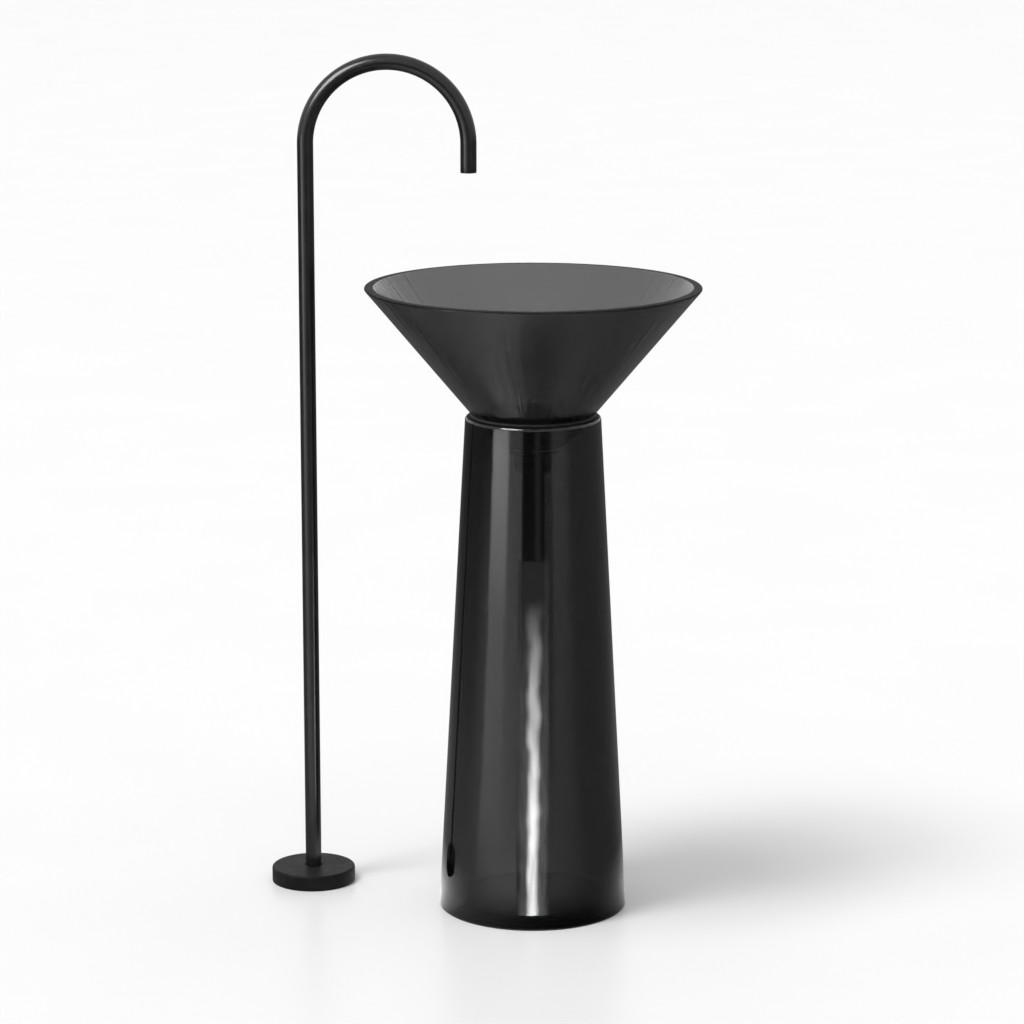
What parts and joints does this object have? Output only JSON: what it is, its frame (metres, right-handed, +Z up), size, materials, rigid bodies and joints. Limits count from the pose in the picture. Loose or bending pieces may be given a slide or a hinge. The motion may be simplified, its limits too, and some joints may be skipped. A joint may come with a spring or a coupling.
{
  "type": "pedestal sink",
  "caption": "Free-standing washbasin: smoked see-through conical bowl on a tapered column, filled by a black floor-standing spout that swivels on a round base.",
  "frame": {"origin": "centre of the column's foot on the floor, on the axis of the four floor bolts", "axes": "+Z up along the sink's axis, +X from the spout's riser towards the sink along the arch, +Y to the back, where the spout stands"},
  "size_m": [0.59, 0.45, 1.156],
  "materials": {
    "smoked_resin": "polished, smoke grey, see-through",
    "black_metal": "matt black coating, fine grained",
    "black_rubber": "matt",
    "black_plastic": "satin",
    "steel": "turned",
    "brass": "turned"
  },
  "bodies": {
    "stand": {"bowl": "smoked_resin", "column": "smoked_resin", "seat_gasket": "black_rubber", "foot_gasket": "black_rubber", "centring_ring": "black_rubber", "flange_gasket": "black_rubber", "under_gasket": "black_rubber", "pipe_seal": "black_rubber", "plate_o_ring": "black_rubber", "tube_wiper": "black_rubber", "cover_grip_ring": "black_rubber", "anchor_plate": "black_metal", "pipe_rosette": "black_metal", "drain_body": "black_metal", "lock_nut": "black_metal", "spout_base_cover": "black_metal", "coupling_nut": "black_plastic", "waste_pipe": "black_plastic", "click_spring": "steel", "thrust_washer": "steel", "swivel_stop": "steel", "body_screws": "steel", "spout_floor_plate": "steel", "click_cartridge": "brass", "swivel_body": "brass"},
    "spout": {"spout_tube": "black_metal", "aerator_housing": "black_metal", "aerator_core": "steel", "aerator_gasket": "black_rubber", "spout_spigot": "brass", "spigot_o_rings": "black_rubber"},
    "plug": {"drain_cover": "black_metal", "cover_seal": "black_rubber", "plug_stem": "steel"}
  },
  "joints": [
    {"name": "spout_swivel", "type": "hinge", "parent": "stand", "child": "spout", "pos_m": [-0.307, 0.1, 0.012], "axis": [0, 0, 1], "range_deg": [-60, 60]},
    {"name": "plug_lift", "type": "slide", "parent": "stand", "child": "plug", "axis": [0, 0, 1], "range_m": [0, 0.009], "deforming": ["click_spring"]}
  ]
}
